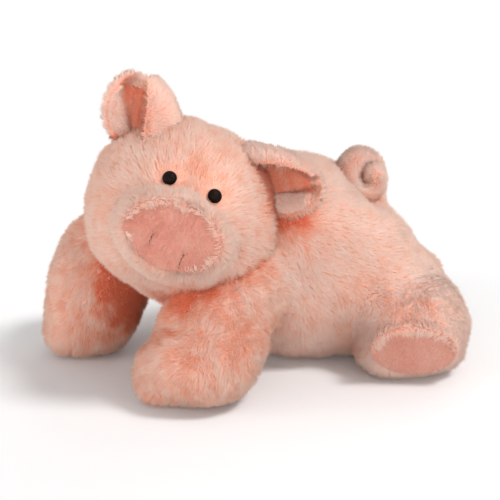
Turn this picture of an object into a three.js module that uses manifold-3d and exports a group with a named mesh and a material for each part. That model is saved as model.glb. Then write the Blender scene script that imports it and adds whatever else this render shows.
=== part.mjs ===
// A stuffed plush pig that lies on its belly, made as a cushion: sewn skins over loose stuffing.
// Millimetres, +Z up. The pig looks along -Y, its left side is +X, and its belly rests on Z = 0.
import * as THREE from 'three';
import { mergeVertices } from 'three/addons/utils/BufferGeometryUtils.js';
import Module from 'manifold-3d';

const wasm = await Module();
wasm.setup();

const V = (x, y, z) => new THREE.Vector3(x, y, z);
const radians = THREE.MathUtils.degToRad;

// Driving dimensions
const SKIN = 5; // pile fabric with its backing, as thick as a skin gets
const GAP = 0.4; // between pieces that touch
const PLAY = 1; // between pieces that move on each other
const FACET = 3.2; // by how much more a coarse solid is grown where it clears the room for a fine one
const FLOOR_CUT = 0.5; // how deep the floor flattens a form that rests on it
const COARSE = 0.7; // share of the facets that a hidden surface gets
const SOCKET_FLARE = 10; // by how much a socket's rim is wider than the leg in it, so that the leg can turn

const TORSO = {
  path: [V(0, 118, 46), V(0, 84, 49), V(0, 30, 68.2), V(0, -24, 84), V(0, -66, 86), V(0, -96, 84)],
  widths: [46, 76, 89, 84, 69, 48],
  heights: [34, 46.5, 76.5, 83.1, 77, 52],
  blunt: 2.5,
  cap: 0.6,
  boxy: 2.3,
  rings: 11,
  sides: 14,
};

const HEAD = {
  centre: V(14, -125, 140),
  radii: V(77, 73, 75), // across, front to back, up
  turn: 63, // towards the pig's left, in degrees
  lift: 15, // the face looks up
  roll: 23, // the crown leans to the pig's left
  around: 20,
  down: 12,
};
const NECK = { mouth: 28, towards: V(0, -40, 85) };

const MUZZLE = {
  path: [V(0, -42, -19), V(0, -68, -19), V(0, -92, -19)],
  widths: [42, 44, 42],
  heights: [31, 32, 30],
  blunt: 3.6,
  cap: 0.14,
  rings: 7,
  sides: 16,
};
const NOSE = { across: 38.5, up: 26, deep: 8, proud: 3.5 };
const EYE = { across: 18.7, up: 21, radius: 5.2, dome: 4, sunk: 1, stem: 2, length: 12, ridges: 3 };
const WASHER = { radius: 7.5, bore: 2.4, thick: 1.6, behind: 1.4 };

const EAR = {
  base: V(59, -12, 44), // where the left ear is pinched, in the head's frame
  height: 50,
  lobe: { wide: 25, deep: 9, bend: 60 }, // from the pinch line to the outer edge
  flap: { wide: 39, deep: 14, bend: 165 }, // the inner edge, rolled forward by its bend in degrees
  back: 3.5,
  lining: 2.5,
  range: 12,
  across: 10,
  along: 4,
};
// How far each ear leans outwards from the crown, and how far it tilts forwards, in degrees
const EAR_POSE = { left: { lean: 54, tilt: 38 }, right: { lean: 7, tilt: 8 } };

const FRONT_LEG = { blunt: 2.8, cap: 0.42, rings: 9, sides: 14, mouth: 17, range: 9 };
const FRONT_RIGHT = {
  ...FRONT_LEG,
  path: [V(-60, -98, 106), V(-80, -130, 90), V(-87, -159, 58), V(-83, -173, 20)],
  widths: [34, 38, 42, 42],
  heights: [34, 38, 44, 46],
};
const FRONT_LEFT = {
  ...FRONT_LEG,
  blunt: 3,
  cap: 0.36,
  path: [V(56, -84, 90), V(64, -117, 73), V(75, -143, 46), V(78, -172, 34)],
  widths: [36, 40, 47, 51],
  heights: [37, 40, 35, 37],
};
const REAR_LEG = {
  blunt: 2.9,
  cap: 0.35,
  rings: 9,
  sides: 14,
  mouth: 17,
  range: 12,
  path: [V(60, 76, 46), V(89, 56, 42), V(114, 38, 37), V(131, 26, 32)],
  widths: [44, 46, 44, 41],
  heights: [38, 41, 36.5, 32.5],
  boxy: 2.3,
};
const SOLE = { across: 35, up: 23, deep: 7, proud: 2.5, rise: 5 };

const TAIL = {
  root: V(4, 73, 95),
  stem: V(5, 71, 120),
  centre: V(14, 55, 151.5),
  ring: 12,
  from: -5, // degrees round the ring, from the pig's rear
  turn: 330,
  sideways: 18,
  thick: 9.2,
  thin: 7.5,
  skin: 2.5,
  sides: 7,
  steps: 12,
  range: 9,
  room: 2.4 * FACET, // the coarse room for it clears the curl by this much
};

const PLUSH = { color: 0xf0c3af, roughness: 0.95, metalness: 0 };
const SHORT_PILE = { color: 0xd9978a, roughness: 0.85, metalness: 0 };
const EAR_LINING = { color: 0xc97c69, roughness: 0.85, metalness: 0 };
const FIBRE = { color: 0xf4f1ea, roughness: 1, metalness: 0 };
const BLACK = { color: 0x120a08, roughness: 0.12, metalness: 0 };
const NYLON = { color: 0xe9e9e4, roughness: 0.5, metalness: 0 };

// From a closed triangle mesh to a solid that can be joined and cut, and back
function toSolid(geometry) {
  const bare = geometry.clone();
  bare.deleteAttribute('normal');
  bare.deleteAttribute('uv');
  const merged = mergeVertices(bare, 1e-4);
  return new wasm.Manifold(new wasm.Mesh({
    numProp: 3,
    vertProperties: new Float32Array(merged.attributes.position.array),
    triVerts: new Uint32Array(merged.index.array),
  }));
}

function toGeometry(solid) {
  const mesh = solid.getMesh();
  const points = new Float32Array((mesh.vertProperties.length / mesh.numProp) * 3);
  for (let i = 0; i < points.length / 3; i += 1) {
    for (let k = 0; k < 3; k += 1) points[3 * i + k] = mesh.vertProperties[mesh.numProp * i + k];
  }
  const geometry = new THREE.BufferGeometry();
  geometry.setAttribute('position', new THREE.BufferAttribute(points, 3));
  geometry.setIndex(new THREE.BufferAttribute(new Uint32Array(mesh.triVerts), 1));
  geometry.computeVertexNormals();
  return geometry;
}

// A closed surface through rings of points, with a single point at each end
function closeRings(first, rings, last) {
  const sides = rings[0].length;
  const points = [first, ...rings.flat(), last];
  const end = points.length - 1;
  const faces = [];
  for (let i = 0; i < sides; i += 1) {
    const j = (i + 1) % sides;
    faces.push(0, 1 + j, 1 + i);
    for (let r = 0; r < rings.length - 1; r += 1) {
      const [a, b] = [1 + r * sides + i, 1 + r * sides + j];
      faces.push(a, b, b + sides, a, b + sides, a + sides);
    }
    faces.push(end, end - sides + i, end - sides + j);
  }
  const geometry = new THREE.BufferGeometry();
  geometry.setAttribute('position', new THREE.Float32BufferAttribute(points.flatMap((p) => p.toArray()), 3));
  geometry.setIndex(faces);
  return geometry;
}

const power = (x, n) => Math.sign(x) * Math.abs(x) ** n;
const facets = (n, coarse) => (coarse ? Math.round(n * COARSE) : n);

// A stuffed form round a centre line: it swells between its ends and closes in a blunt cap at each.
// grow moves its surface outwards, or inwards where it is negative.
function stuffed(form, grow = 0, coarse = false) {
  const { path, widths, heights, blunt, boxy = 2 } = form;
  const [rings, sides] = [facets(form.rings, coarse), facets(form.sides, coarse)];
  const line = new THREE.CatmullRomCurve3(path);
  const size = new THREE.CatmullRomCurve3(path.map((p, i) => V(widths[i], heights[i], 40 * i)));
  const ends = [0, path.length - 1].map((i) => (widths[i] + heights[i]) / 2);
  const section = (latitude) => {
    const along = power(-Math.cos(latitude), 2 / blunt);
    const round = Math.sin(latitude) ** (2 / blunt);
    const t = (along + 1) / 2;
    const tangent = line.getTangent(t);
    const side = V(0, 0, 1).cross(tangent).normalize();
    const up = tangent.clone().cross(side);
    const reach = form.cap * ends[along < 0 ? 0 : 1] * Math.abs(along) ** 3 + grow * Math.abs(along);
    const centre = line.getPoint(t).addScaledVector(tangent, Math.sign(along) * reach);
    const { x: wide, y: high } = size.getPoint(t);
    return { centre, side, up, wide: (wide + grow) * round, high: (high + grow) * round };
  };
  const outline = ({ centre, side, up, wide, high }) => Array.from({ length: sides }, (_, i) => {
    const a = (2 * Math.PI * i) / sides;
    return centre.clone()
      .addScaledVector(side, wide * power(Math.cos(a), 2 / boxy))
      .addScaledVector(up, high * power(Math.sin(a), 2 / boxy));
  });
  const latitudes = Array.from({ length: rings }, (_, i) => (Math.PI * (i + 1)) / (rings + 1));
  const middle = latitudes.map((latitude) => outline(section(latitude)));
  return toSolid(closeRings(section(0).centre, middle, section(Math.PI).centre));
}

function ellipsoid({ x, y, z }, around, down) {
  return toSolid(new THREE.SphereGeometry(1, around, down).scale(x, y, z));
}

function cylinder(radius, from, to, sides = 14) {
  const geometry = new THREE.CylinderGeometry(radius, radius, from.distanceTo(to), sides);
  geometry.applyQuaternion(turnOnto(V(0, 1, 0), to.clone().sub(from)));
  return toSolid(geometry.translate(...from.clone().lerp(to, 0.5).toArray()));
}

function turnOnto(from, to) {
  return new THREE.Quaternion().setFromUnitVectors(from, to.clone().normalize());
}

const moved = (solid, matrix) => solid.transform(matrix.elements);
const mirroredX = (p) => V(-p.x, p.y, p.z);

function turnAbout({ point, axis }, degrees) {
  return new THREE.Matrix4().makeTranslation(point)
    .multiply(new THREE.Matrix4().makeRotationAxis(axis, radians(degrees)))
    .multiply(new THREE.Matrix4().makeTranslation(point.clone().negate()));
}

// All the room that a solid takes as it turns on a hinge, as far as its range either way
function swept(solid, hinge) {
  return [-1, 1].reduce((room, part) => room.add(moved(solid, turnAbout(hinge, part * hinge.range))), solid);
}

const below = toSolid(new THREE.BoxGeometry(800, 800, 200).translate(0, 0, -100));
const onFloor = (solid) => solid.subtract(below);

// A form lowered until the floor flattens it by FLOOR_CUT
function settled(form) {
  const lowest = stuffed(form).boundingBox().min[2];
  const drop = V(0, 0, lowest + FLOOR_CUT);
  return { ...form, path: form.path.map((p) => p.clone().sub(drop)) };
}

const group = new THREE.Group();
group.name = 'pig_pillow';

function addPiece(name, solid, look) {
  const mesh = new THREE.Mesh(toGeometry(solid), new THREE.MeshStandardMaterial(look));
  mesh.name = name;
  group.add(mesh);
}

// Head: an egg of stuffing in its own frame, X to the pig's left, -Y out of the face, +Z to the crown
const inHead = new THREE.Matrix4().makeTranslation(HEAD.centre)
  .multiply(new THREE.Matrix4().makeRotationZ(radians(HEAD.turn)))
  .multiply(new THREE.Matrix4().makeRotationX(radians(-HEAD.lift)))
  .multiply(new THREE.Matrix4().makeRotationY(radians(HEAD.roll)));
const outOfHead = inHead.clone().invert();

function headForm(grow, coarse = false) {
  const radii = HEAD.radii.clone().addScalar(grow);
  return ellipsoid(radii, facets(HEAD.around, coarse), facets(HEAD.down, coarse));
}

// The bowl that the head turns in is a part of a ball, so that the head clears it at every angle.
function headBall(grow) {
  const radius = Math.max(...HEAD.radii.toArray()) + grow;
  const ball = ellipsoid(V(radius, radius, radius), HEAD.around, HEAD.down);
  return moved(ball, new THREE.Matrix4().makeTranslation(HEAD.centre));
}

// A point of the face and the direction straight out of it there
function onFace(x, z) {
  const { radii } = HEAD;
  const y = -radii.y * Math.sqrt(1 - (x / radii.x) ** 2 - (z / radii.z) ** 2);
  return { point: V(x, y, z), out: V(x / radii.x ** 2, y / radii.y ** 2, z / radii.z ** 2).normalize() };
}

// A pad that is sewn on a flat place: its own crown stands proud of the seat cut for it
function pad({ across, up, deep }, centre, out, grow = 0) {
  const half = (deep / 2) * 0.7;
  return stuffed({
    path: [centre.clone().addScaledVector(out, -half), centre, centre.clone().addScaledVector(out, half)],
    widths: [across, across, across],
    heights: [up, up, up],
    blunt: 3,
    cap: (deep / 2 - half) / ((across + up) / 2),
    rings: 5,
    sides: 20,
  }, grow);
}

function addHead() {
  const neckLine = NECK.towards.clone().sub(HEAD.centre).normalize();
  const mouth = moved(cylinder(
    NECK.mouth,
    HEAD.centre.clone().addScaledVector(neckLine, HEAD.radii.y * 0.75),
    HEAD.centre.clone().addScaledVector(neckLine, HEAD.radii.y * 1.3),
  ), outOfHead);
  let skin = headForm(0).subtract(headForm(-SKIN, true)).subtract(mouth);
  let stuffing = headForm(-SKIN - GAP, true);

  for (const [side, name] of [[1, 'left'], [-1, 'right']]) {
    const { point, out } = onFace(side * EYE.across, EYE.up);
    const at = (depth) => point.clone().addScaledVector(out, -depth);
    const place = new THREE.Matrix4().compose(at(0), turnOnto(V(0, 1, 0), out), V(1, 1, 1));
    const piece = (profile) => {
      const lathe = new THREE.LatheGeometry(profile.map(([r, y]) => new THREE.Vector2(r, y)), 16);
      return moved(toSolid(lathe), inHead.clone().multiply(place));
    };
    addPiece(`eye_${name}`, piece(eyeProfile()), BLACK);
    addPiece(`eye_washer_${name}`, piece(washerProfile()), NYLON);
    skin = skin.subtract(cylinder(EYE.radius + GAP, at(EYE.sunk + GAP), at(-SKIN), 16))
      .subtract(cylinder(WASHER.bore, at(0), at(2 * SKIN), 12))
      .subtract(cylinder(WASHER.radius + GAP, at(SKIN + WASHER.behind - GAP), at(3 * SKIN), 16));
    stuffing = stuffing.subtract(cylinder(WASHER.radius + GAP, at(0), at(EYE.length + GAP), 16));
  }

  const snout = MUZZLE.path[MUZZLE.path.length - 1].clone();
  const front = stuffed(MUZZLE).boundingBox().min[1];
  const noseCentre = V(snout.x, front + NOSE.deep / 2 - NOSE.proud, snout.z);
  const seat = pad(NOSE, noseCentre, V(0, -1, 0), GAP);
  const behind = headForm(GAP);
  const muzzle = stuffed(MUZZLE).subtract(behind).subtract(stuffed(MUZZLE, -SKIN, true)).subtract(seat);
  const filling = stuffed(MUZZLE, -SKIN - GAP, true).subtract(behind).subtract(seat);

  addPiece('head_skin', moved(skin, inHead), PLUSH);
  addPiece('head_stuffing', moved(stuffing, inHead), FIBRE);
  addPiece('muzzle_skin', moved(muzzle, inHead), PLUSH);
  addPiece('muzzle_stuffing', moved(filling, inHead), FIBRE);
  addPiece('nose_pad', moved(pad(NOSE, noseCentre, V(0, -1, 0)), inHead), SHORT_PILE);
}

// Half outline of an eye, from the top of its dome down its ridged stem
function eyeProfile() {
  const dome = Array.from({ length: 5 }, (_, i) => {
    const a = (Math.PI / 2) * (i / 4);
    return [EYE.radius * Math.sin(a), EYE.dome * Math.cos(a) - EYE.sunk];
  });
  const pitch = (EYE.length - 2 * EYE.sunk) / EYE.ridges;
  const stem = Array.from({ length: EYE.ridges }, (_, i) => {
    const y = -EYE.sunk - pitch * i;
    return [[EYE.stem * 0.85, y], [EYE.stem, y - pitch / 2]];
  }).flat();
  return [...dome, ...stem, [0, -EYE.length]].reverse();
}

function washerProfile() {
  const top = -SKIN - WASHER.behind;
  const rim = [[WASHER.bore, top], [WASHER.radius, top], [WASHER.radius, top - WASHER.thick]];
  return [...rim, [WASHER.bore, top - WASHER.thick], rim[0]].reverse();
}

// Ear: a leaf of two layers whose inner edge is rolled forward, so that it makes a hollow
function earSheet(u, v) {
  const [side, { wide, deep, bend }] = u < 0.5 ? [1, EAR.lobe] : [-1, EAR.flap];
  const round = Math.sqrt(1 - Math.abs(side > 0 ? 1.9 * v - 0.9 : v) ** (side > 0 ? 2.6 : 4));
  const taper = side > 0 ? 1 : 1 - 0.55 * v;
  const angle = radians(bend) * Math.abs(1 - 2 * u);
  const across = side * wide * Math.sin(angle) / Math.sin(radians(Math.min(bend, 90)));
  return V(across * round * taper, -deep * (1 - Math.cos(angle)) * taper, EAR.height * v);
}

// One layer of the ear, between two depths in front of its middle surface
function earLayer(near, far) {
  const { across, along } = EAR;
  const spot = (i, j, depth) => {
    const [u, v] = [i / across, 0.97 * (j / along)];
    const small = 1e-3;
    const towardsU = earSheet(Math.min(1, u + small), v).sub(earSheet(Math.max(0, u - small), v));
    const towardsV = earSheet(u, v + small).sub(earSheet(u, Math.max(0, v - small)));
    const front = towardsV.cross(towardsU).normalize();
    return earSheet(u, v).addScaledVector(front, depth);
  };
  const points = [];
  for (const depth of [near, far]) {
    for (let j = 0; j <= along; j += 1) {
      for (let i = 0; i <= across; i += 1) points.push(spot(i, j, depth));
    }
  }
  const row = across + 1;
  const layer = row * (along + 1);
  const faces = [];
  const quad = (a, b, c, d) => faces.push(a, b, c, a, c, d);
  for (let j = 0; j < along; j += 1) {
    for (let i = 0; i < across; i += 1) {
      const a = j * row + i;
      quad(a, a + row, a + row + 1, a + 1);
      quad(layer + a, layer + a + 1, layer + a + row + 1, layer + a + row);
    }
    const [left, right] = [j * row, j * row + across];
    quad(left, layer + left, layer + left + row, left + row);
    quad(right, right + row, layer + right + row, layer + right);
  }
  for (let i = 0; i < across; i += 1) {
    const tip = along * row + i;
    quad(i, i + 1, layer + i + 1, layer + i);
    quad(tip, layer + tip, layer + tip + 1, tip + 1);
  }
  const geometry = new THREE.BufferGeometry();
  geometry.setAttribute('position', new THREE.Float32BufferAttribute(points.flatMap((p) => p.toArray()), 3));
  geometry.setIndex(faces);
  return geometry;
}

const ears = [[1, 'left'], [-1, 'right']].map(([side, name]) => {
  const place = new THREE.Matrix4().makeScale(side, 1, 1)
    .multiply(new THREE.Matrix4().makeTranslation(EAR.base))
    .multiply(new THREE.Matrix4().makeRotationY(radians(EAR_POSE[name].lean)))
    .multiply(new THREE.Matrix4().makeRotationX(radians(EAR_POSE[name].tilt)));
  const point = EAR.base.clone().multiply(V(side, 1, 1));
  const axis = V(1, 0, 0).transformDirection(place).normalize();
  return { side, name, place, hinge: { point, axis, range: EAR.range } };
});

function addEar({ side, name, place, hinge }) {
  const clear = swept(headForm(PLAY), hinge);
  const layer = (near, far) => {
    const geometry = earLayer(near, far).applyMatrix4(place);
    if (side > 0) geometry.setIndex(Array.from(geometry.index.array).reverse());
    return moved(toSolid(geometry).subtract(clear), inHead);
  };
  addPiece(`ear_back_${name}`, layer(-EAR.back, 0), PLUSH);
  addPiece(`ear_lining_${name}`, layer(GAP, GAP + EAR.lining), EAR_LINING);
}

// Legs: each is cut where the head turns over it, and turns in a socket of the torso
const hingeAt = (form, axis) => ({ point: form.path[0], axis, range: form.range });
const frontLegs = [['left', FRONT_LEFT], ['right', FRONT_RIGHT]].map(([name, shape]) => {
  const form = settled(shape);
  const hinge = hingeAt(form, V(1, 0, 0));
  const solid = (grow, coarse) => stuffed(form, grow, coarse).subtract(swept(headBall(PLAY - grow), hinge));
  return { name: `front_leg_skin_${name}`, core: `front_leg_stuffing_${name}`, form, hinge, solid };
});
const rearLegs = [['left', 1], ['right', -1]].map(([name, side]) => {
  const rested = settled(REAR_LEG);
  const form = side > 0 ? rested : { ...rested, path: rested.path.map(mirroredX) };
  const solid = (grow, coarse) => stuffed(form, grow, coarse);
  return {
    name: `rear_leg_skin_${name}`,
    core: `rear_leg_stuffing_${name}`,
    sole: `sole_${name}`,
    form,
    hinge: hingeAt(form, V(0, 0, 1)),
    solid,
  };
});
const legs = [...frontLegs, ...rearLegs];

function addLeg({ name, core, sole, form, solid }) {
  const [root, next] = form.path;
  const mouth = cylinder(form.mouth, root.clone().lerp(next, 0.2), root.clone().lerp(next, -1.5), 12);
  let skin = onFloor(solid(0)).subtract(solid(-SKIN, true)).subtract(mouth);
  let filling = solid(-SKIN - GAP, true);
  if (sole) {
    const [before, end] = form.path.slice(-2);
    const out = end.clone().sub(before).normalize();
    const tip = end.clone().addScaledVector(out, form.cap * form.widths[3] - SOLE.deep / 2 + SOLE.proud);
    const centre = tip.add(V(0, 0, SOLE.rise));
    const seat = pad(SOLE, centre, out, GAP);
    skin = skin.subtract(seat);
    filling = filling.subtract(seat);
    addPiece(sole, pad(SOLE, centre, out), SHORT_PILE);
  }
  addPiece(name, skin, PLUSH);
  addPiece(core, filling, FIBRE);
}

// Tail: a stem that curls once round and passes beside itself
const tailHinge = { point: TAIL.root, axis: V(0, 1, 0), range: TAIL.range };

function tailForm(grow, coarse = false) {
  const steps = facets(TAIL.steps, coarse);
  const ring = Array.from({ length: 9 }, (_, i) => {
    const a = radians(TAIL.from + (TAIL.turn * i) / 8);
    const x = TAIL.stem.x + (TAIL.sideways * i) / 8;
    return V(x, TAIL.centre.y + TAIL.ring * Math.cos(a), TAIL.centre.z + TAIL.ring * Math.sin(a));
  });
  const line = new THREE.CatmullRomCurve3([TAIL.root, TAIL.stem, ...ring]);
  const inset = Math.max(0, -grow) / line.getLength();
  const section = (i) => {
    const t = THREE.MathUtils.lerp(inset, 1 - inset, i / steps);
    const tangent = line.getTangentAt(t);
    const side = V(1, 0, 0).addScaledVector(tangent, -tangent.x).normalize();
    const up = tangent.clone().cross(side);
    const round = Math.min(1, 0.55 + 0.45 * Math.min(i, steps - i));
    const radius = (THREE.MathUtils.lerp(TAIL.thick, TAIL.thin, t) + grow) * round;
    return Array.from({ length: TAIL.sides }, (_, k) => {
      const a = (2 * Math.PI * k) / TAIL.sides;
      return line.getPointAt(t)
        .addScaledVector(side, radius * Math.cos(a))
        .addScaledVector(up, radius * Math.sin(a));
    });
  };
  const cap = 2 + Math.max(0, grow);
  const first = line.getPointAt(inset).addScaledVector(line.getTangentAt(inset), -cap);
  const last = line.getPointAt(1 - inset).addScaledVector(line.getTangentAt(1 - inset), cap);
  const sections = Array.from({ length: steps + 1 }, (_, i) => section(i));
  return toSolid(closeRings(first, sections, last));
}

// Round all the room that the curl takes as it turns
function tailBall(grow) {
  const radius = TAIL.ring + TAIL.thick + TAIL.sideways / 2 + grow;
  return moved(ellipsoid(V(radius, radius, radius), 10, 6), new THREE.Matrix4().makeTranslation(TAIL.centre));
}

function addTail() {
  const along = (part) => TAIL.root.clone().lerp(TAIL.stem, part);
  const mouth = cylinder(TAIL.thick - 2 * TAIL.skin, along(0.3), along(-0.6), 9);
  addPiece('tail_skin', tailForm(0).subtract(tailForm(-TAIL.skin)).subtract(mouth), PLUSH);
  addPiece('tail_stuffing', tailForm(-TAIL.skin - 2 * GAP), FIBRE);
}

// Torso: the cushion itself, with a socket for each limb, a bowl for the head and one mouth at the neck
const torsoForm = settled(TORSO);

function torsoOuter() {
  const rooms = legs.map(({ form, hinge }) => swept(stuffed(form, PLAY + FACET, true), hinge));
  rooms.push(headBall(PLAY), swept(tailForm(TAIL.room, true), tailHinge));
  return rooms.reduce((solid, room) => solid.subtract(room), onFloor(stuffed(torsoForm)));
}

// An inner surface of the torso: it keeps clear of every socket by more than the skin's thickness
function torsoInner(depth) {
  const wall = depth + PLAY + FACET;
  const rooms = legs.map(({ form }) => stuffed(form, wall + SOCKET_FLARE, true));
  rooms.push(headBall(depth + PLAY), tailForm(wall + TAIL.room, true), tailBall(wall));
  return rooms.reduce((solid, room) => solid.subtract(room), stuffed(torsoForm, -depth, true));
}

function addTorso() {
  const mouth = cylinder(NECK.mouth, HEAD.centre, NECK.towards);
  addPiece('body_skin', torsoOuter().subtract(torsoInner(SKIN)).subtract(mouth), PLUSH);
  addPiece('body_stuffing', torsoInner(SKIN + GAP), FIBRE);
}

addTorso();
addHead();
ears.forEach(addEar);
legs.forEach(addLeg);
addTail();

export default group;
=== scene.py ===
"""Looks of a plush pig pillow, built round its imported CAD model.

Forms are written in millimetres, as in the CAD, and the objects made of them are in metres.
"""

import math

import bpy
import numpy as np
from mathutils import Matrix, Vector
from mathutils.bvhtree import BVHTree
from numpy.linalg import norm


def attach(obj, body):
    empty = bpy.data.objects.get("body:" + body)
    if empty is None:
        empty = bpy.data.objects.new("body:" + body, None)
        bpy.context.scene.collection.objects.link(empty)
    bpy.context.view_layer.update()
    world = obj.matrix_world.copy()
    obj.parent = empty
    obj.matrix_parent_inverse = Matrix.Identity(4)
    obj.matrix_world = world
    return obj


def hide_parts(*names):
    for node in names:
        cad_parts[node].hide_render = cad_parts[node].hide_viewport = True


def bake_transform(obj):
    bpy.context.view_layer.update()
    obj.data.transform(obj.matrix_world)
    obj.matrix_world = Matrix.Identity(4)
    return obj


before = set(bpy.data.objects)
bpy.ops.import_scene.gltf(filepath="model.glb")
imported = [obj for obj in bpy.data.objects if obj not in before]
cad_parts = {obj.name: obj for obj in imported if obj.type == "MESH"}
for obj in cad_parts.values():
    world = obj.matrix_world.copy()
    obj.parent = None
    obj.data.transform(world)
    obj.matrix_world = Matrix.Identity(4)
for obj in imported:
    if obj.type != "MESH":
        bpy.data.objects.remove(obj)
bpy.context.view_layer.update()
SCENE = bpy.context.scene
MM = 0.001
FUR_MAPS = ("pile", "OFBake")  # a strand's tint runs across both maps, and its length up them
SIDES = ("left", "right")

# Camera: the photograph's angle
AZIMUTH, ELEVATION, DISTANCE = math.radians(58), math.radians(20), 1.3
FOCAL_PX, FRAME_PX, SENSOR_MM = 1444, 500, 36
ORIGIN_PX = (303, 341)  # where the frame's origin lies in the picture


def add_object(name, data):
    obj = bpy.data.objects.new(name, data)
    SCENE.collection.objects.link(obj)
    return obj


def direction(azimuth, elevation):
    """The way towards a camera or a lamp at these angles."""
    level = math.cos(elevation)
    return Vector((math.sin(azimuth) * level, -math.cos(azimuth) * level, math.sin(elevation)))


def add_camera():
    right = Vector((math.cos(AZIMUTH), math.sin(AZIMUTH), 0))
    towards = direction(AZIMUTH, ELEVATION)
    up = towards.cross(right)
    data = bpy.data.cameras.new("camera")
    data.lens = FOCAL_PX / FRAME_PX * SENSOR_MM
    data.sensor_width = SENSOR_MM
    data.shift_x = (FRAME_PX / 2 - ORIGIN_PX[0]) / FRAME_PX
    data.shift_y = (ORIGIN_PX[1] - FRAME_PX / 2) / FRAME_PX
    data.clip_start, data.clip_end = 0.05, 50
    SCENE.camera = add_object("camera", data)
    turn = Matrix((right, up, towards)).transposed().to_4x4()
    SCENE.camera.matrix_world = Matrix.Translation(towards * DISTANCE) @ turn


add_camera()


# Numbers

def unit(v):
    return v / np.maximum(norm(v, axis=-1, keepdims=True), 1e-12)


def smooth(x, low, high):
    t = np.clip((x - low) / (high - low), 0, 1)
    return t * t * (3 - 2 * t)
def fade(points, spot, reach):
    """1 at the spot, and less and less over reach millimetres round it."""
    return np.exp(-((norm(points - spot, axis=1) / reach) ** 2))


def waves(points, size, seed, count=10):
    """Soft noise from -1 to 1: sine waves in random directions, about size millimetres long."""
    rng = np.random.default_rng(seed)
    total = np.zeros(len(points))
    for _ in range(count):
        way = unit(rng.normal(size=3)) * rng.uniform(0.7, 1.5) * 2 * math.pi / size
        total += np.sin(points @ way + rng.uniform(0, 2 * math.pi))
    return total / math.sqrt(count)


def tangents(line):
    return unit(np.gradient(line, axis=0))


def turned(axis, degrees):
    return np.array(Matrix.Rotation(math.radians(degrees), 3, axis))


def spline(points, t):
    """The centripetal Catmull-Rom line that the CAD's forms follow, at each t from 0 to 1."""
    p = np.asarray(points, float)
    ends = (2 * p[0] - p[1], 2 * p[-1] - p[-2])
    q = np.vstack([ends[0], p, ends[1]])
    at = np.clip(np.asarray(t, float), 0, 1) * (len(p) - 1)
    i = np.minimum(at.astype(int), len(p) - 2)
    w = (at - i)[:, None]
    a, b, c, d = q[i], q[i + 1], q[i + 2], q[i + 3]
    steps = ((a, b), (b, c), (c, d))
    gap = [norm(end - start, axis=1, keepdims=True) ** 0.5 for start, end in steps]
    s0 = ((b - a) / gap[0] - (c - a) / (gap[0] + gap[1]) + (c - b) / gap[1]) * gap[1]
    s1 = ((c - b) / gap[1] - (d - b) / (gap[1] + gap[2]) + (d - c) / gap[2]) * gap[1]
    return b + s0 * w + (-3 * b + 3 * c - 2 * s0 - s1) * w**2 + (2 * b - 2 * c + s0 + s1) * w**3


def power(x, n):
    return np.sign(x) * np.abs(x) ** n


# Forms: a grid of points closed by a pole at each end

def stuffed(form, rings, sides):
    """The points of a stuffed form along its path, square to it as far as blunt and boxy say."""
    path = np.asarray(form["path"], float)
    wide, high = form["widths"], form["heights"]
    size = np.column_stack([wide, high, 40.0 * np.arange(len(wide))])  # spaced as in the CAD
    latitude = np.linspace(0, math.pi, rings + 2)
    along = power(-np.cos(latitude), 2 / form["blunt"])
    round_ = np.sin(latitude).clip(0, 1) ** (2 / form["blunt"])
    t = (along + 1) / 2
    tangent = unit(spline(path, np.minimum(t + 1e-4, 1)) - spline(path, np.maximum(t - 1e-4, 0)))
    side = unit(np.cross((0, 0, 1), tangent))
    up = np.cross(tangent, side)
    ends = np.where(along < 0, (wide[0] + high[0]) / 2, (wide[-1] + high[-1]) / 2)
    reach = form["cap"] * ends * np.abs(along) ** 3
    centre = spline(path, t) + tangent * (np.sign(along) * reach)[:, None]
    sizes = spline(size, t)
    a = 2 * math.pi * np.arange(sides) / sides
    boxy = form.get("boxy", 2)
    x = power(np.cos(a), 2 / boxy)[None, :] * (sizes[:, 0] * round_)[:, None]
    y = power(np.sin(a), 2 / boxy)[None, :] * (sizes[:, 1] * round_)[:, None]
    grid = centre[:, None] + side[:, None] * x[..., None] + up[:, None] * y[..., None]
    return np.vstack([centre[:1], grid[1:-1].reshape(-1, 3), centre[-1:]])


def ring_faces(rings, sides):
    """Faces of a closed surface: a pole, the rings of points, and a pole."""
    i = np.arange(sides)
    j = (i + 1) % sides
    faces = [[0, 1 + b, 1 + a] for a, b in zip(i, j)]
    for r in range(rings - 1):
        low = 1 + r * sides
        faces += [[low + a, low + b, low + b + sides, low + a + sides] for a, b in zip(i, j)]
    end = 1 + rings * sides
    return faces + [[end, end - sides + a, end - sides + b] for a, b in zip(i, j)]


def new_mesh(name, points, faces):
    """An object in metres from points in millimetres, smooth-shaded and facing out."""
    data = bpy.data.meshes.new(name)
    data.from_pydata((np.asarray(points) * MM).tolist(), [], [list(f) for f in faces])
    data.update()
    data.polygons.foreach_set("use_smooth", [True] * len(data.polygons))
    return add_object(name, data)


def read(rows, kind, width=3, number=np.float32):
    values = np.empty(len(rows) * width, number)
    rows.foreach_get(kind, values)
    return values.reshape(-1, width)


def write(rows, kind, values, number=np.float32):
    rows.foreach_set(kind, np.asarray(values).astype(number).ravel())


def points_of(obj):
    return read(obj.data.vertices, "co").astype(float) / MM


def normals_of(obj):
    return read(obj.data.vertices, "normal").astype(float)


def set_points(obj, points):
    write(obj.data.vertices, "co", points * MM)
    obj.data.update()


def triangles_of(obj):
    obj.data.calc_loop_triangles()
    return read(obj.data.loop_triangles, "vertices", number=np.int32)


def displaced(obj, amount):
    set_points(obj, points_of(obj) + normals_of(obj) * np.asarray(amount)[:, None])


def on_floor(obj):
    points = points_of(obj)
    points[:, 2] = np.maximum(points[:, 2], 0.0)
    set_points(obj, points)


def tree_of(*objects):
    points, faces, first = [], [], 0
    for obj in objects:
        points.append(points_of(obj))
        faces.append(triangles_of(obj) + first)
        first += len(points[-1])
    return BVHTree.FromPolygons(np.vstack(points).tolist(), np.vstack(faces).tolist())


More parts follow.
